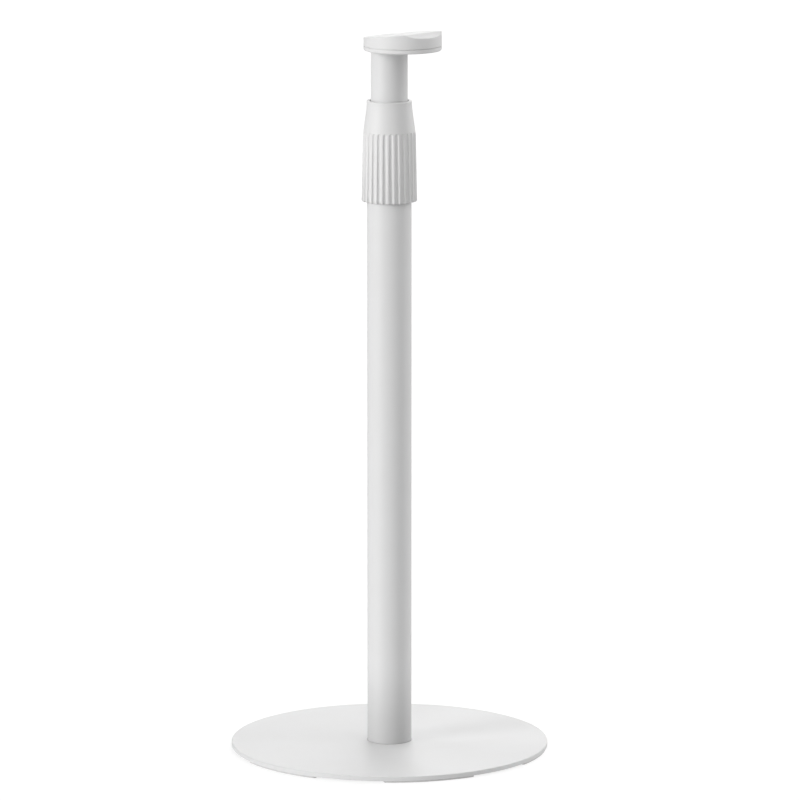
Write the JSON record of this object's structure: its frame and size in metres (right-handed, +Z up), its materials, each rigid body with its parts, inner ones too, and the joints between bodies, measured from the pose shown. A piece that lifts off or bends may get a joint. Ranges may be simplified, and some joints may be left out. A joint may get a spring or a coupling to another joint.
{
  "type": "customer pole display stand",
  "caption": "Height-adjustable round pole on a flat disc base, with a fluted twist lock and a round, sloping offset head that carries a customer display.",
  "frame": {"origin": "centre of the round base, on the floor", "axes": "+Z up along the pole; -Y is the front, the side that the head reaches out to and whose top rises; +X to the viewer's right from the front"},
  "size_m": [0.3599, 0.36, 0.8213],
  "materials": {
    "powder_coat_white": "satin white powder coat with a very fine texture",
    "moulding_white": "white ABS with a fine spark-eroded texture",
    "pad_rubber": "light grey rubber",
    "seal_rubber": "mid grey rubber",
    "nylon_natural": "natural nylon",
    "zinc_steel": "bright zinc plate",
    "spring_steel": "dark phosphated steel",
    "brass": "turned brass"
  },
  "bodies": {
    "stand": {"base_plate": "powder_coat_white", "foot_pad_1": "pad_rubber", "foot_pad_2": "pad_rubber", "foot_pad_3": "pad_rubber", "foot_pad_4": "pad_rubber", "foot_pad_5": "pad_rubber", "foot_pad_6": "pad_rubber", "base_screws": "zinc_steel", "foot_plug": "zinc_steel", "bumper": "seal_rubber", "outer_tube": "powder_coat_white", "threaded_sleeve": "nylon_natural", "collet": "nylon_natural", "sleeve_rivets": "zinc_steel"},
    "lock_ring": {"clamp_ring": "nylon_natural"},
    "collar": {"twist_collar": "moulding_white", "wiper_seal": "seal_rubber", "retaining_ring": "spring_steel"},
    "mast": {"inner_tube": "powder_coat_white", "lower_glide": "nylon_natural", "glide_rivets": "zinc_steel", "swivel_socket": "powder_coat_white", "stop_pin": "zinc_steel", "friction_washer_lower": "nylon_natural", "friction_washer_upper": "nylon_natural", "swivel_bolt": "zinc_steel", "disc_springs": "spring_steel", "spring_washer": "zinc_steel", "lock_nut": "zinc_steel"},
    "head": {"head_plate": "moulding_white", "head_cap": "moulding_white", "cap_screws": "zinc_steel", "display_insert": "brass"}
  },
  "joints": [
    {"name": "collar_lift", "type": "slide", "parent": "stand", "child": "lock_ring", "axis": [0, 0, 1], "range_m": [0, 0.002]},
    {"name": "collar_twist", "type": "hinge", "parent": "lock_ring", "child": "collar", "pos_m": [0, 0, 0.7], "axis": [0, 0, 1], "range_deg": [0, 120]},
    {"name": "height_slide", "type": "slide", "parent": "stand", "child": "mast", "axis": [0, 0, 1], "range_m": [-0.05, 0.495]},
    {"name": "head_swivel", "type": "hinge", "parent": "mast", "child": "head", "pos_m": [0, 0, 0.8], "axis": [0, 0, 1], "range_deg": [-160, 160]}
  ],
  "couplings": [
    {"joint": "collar_lift", "follows": "collar_twist", "m_per_rad": 0.0009549}
  ]
}
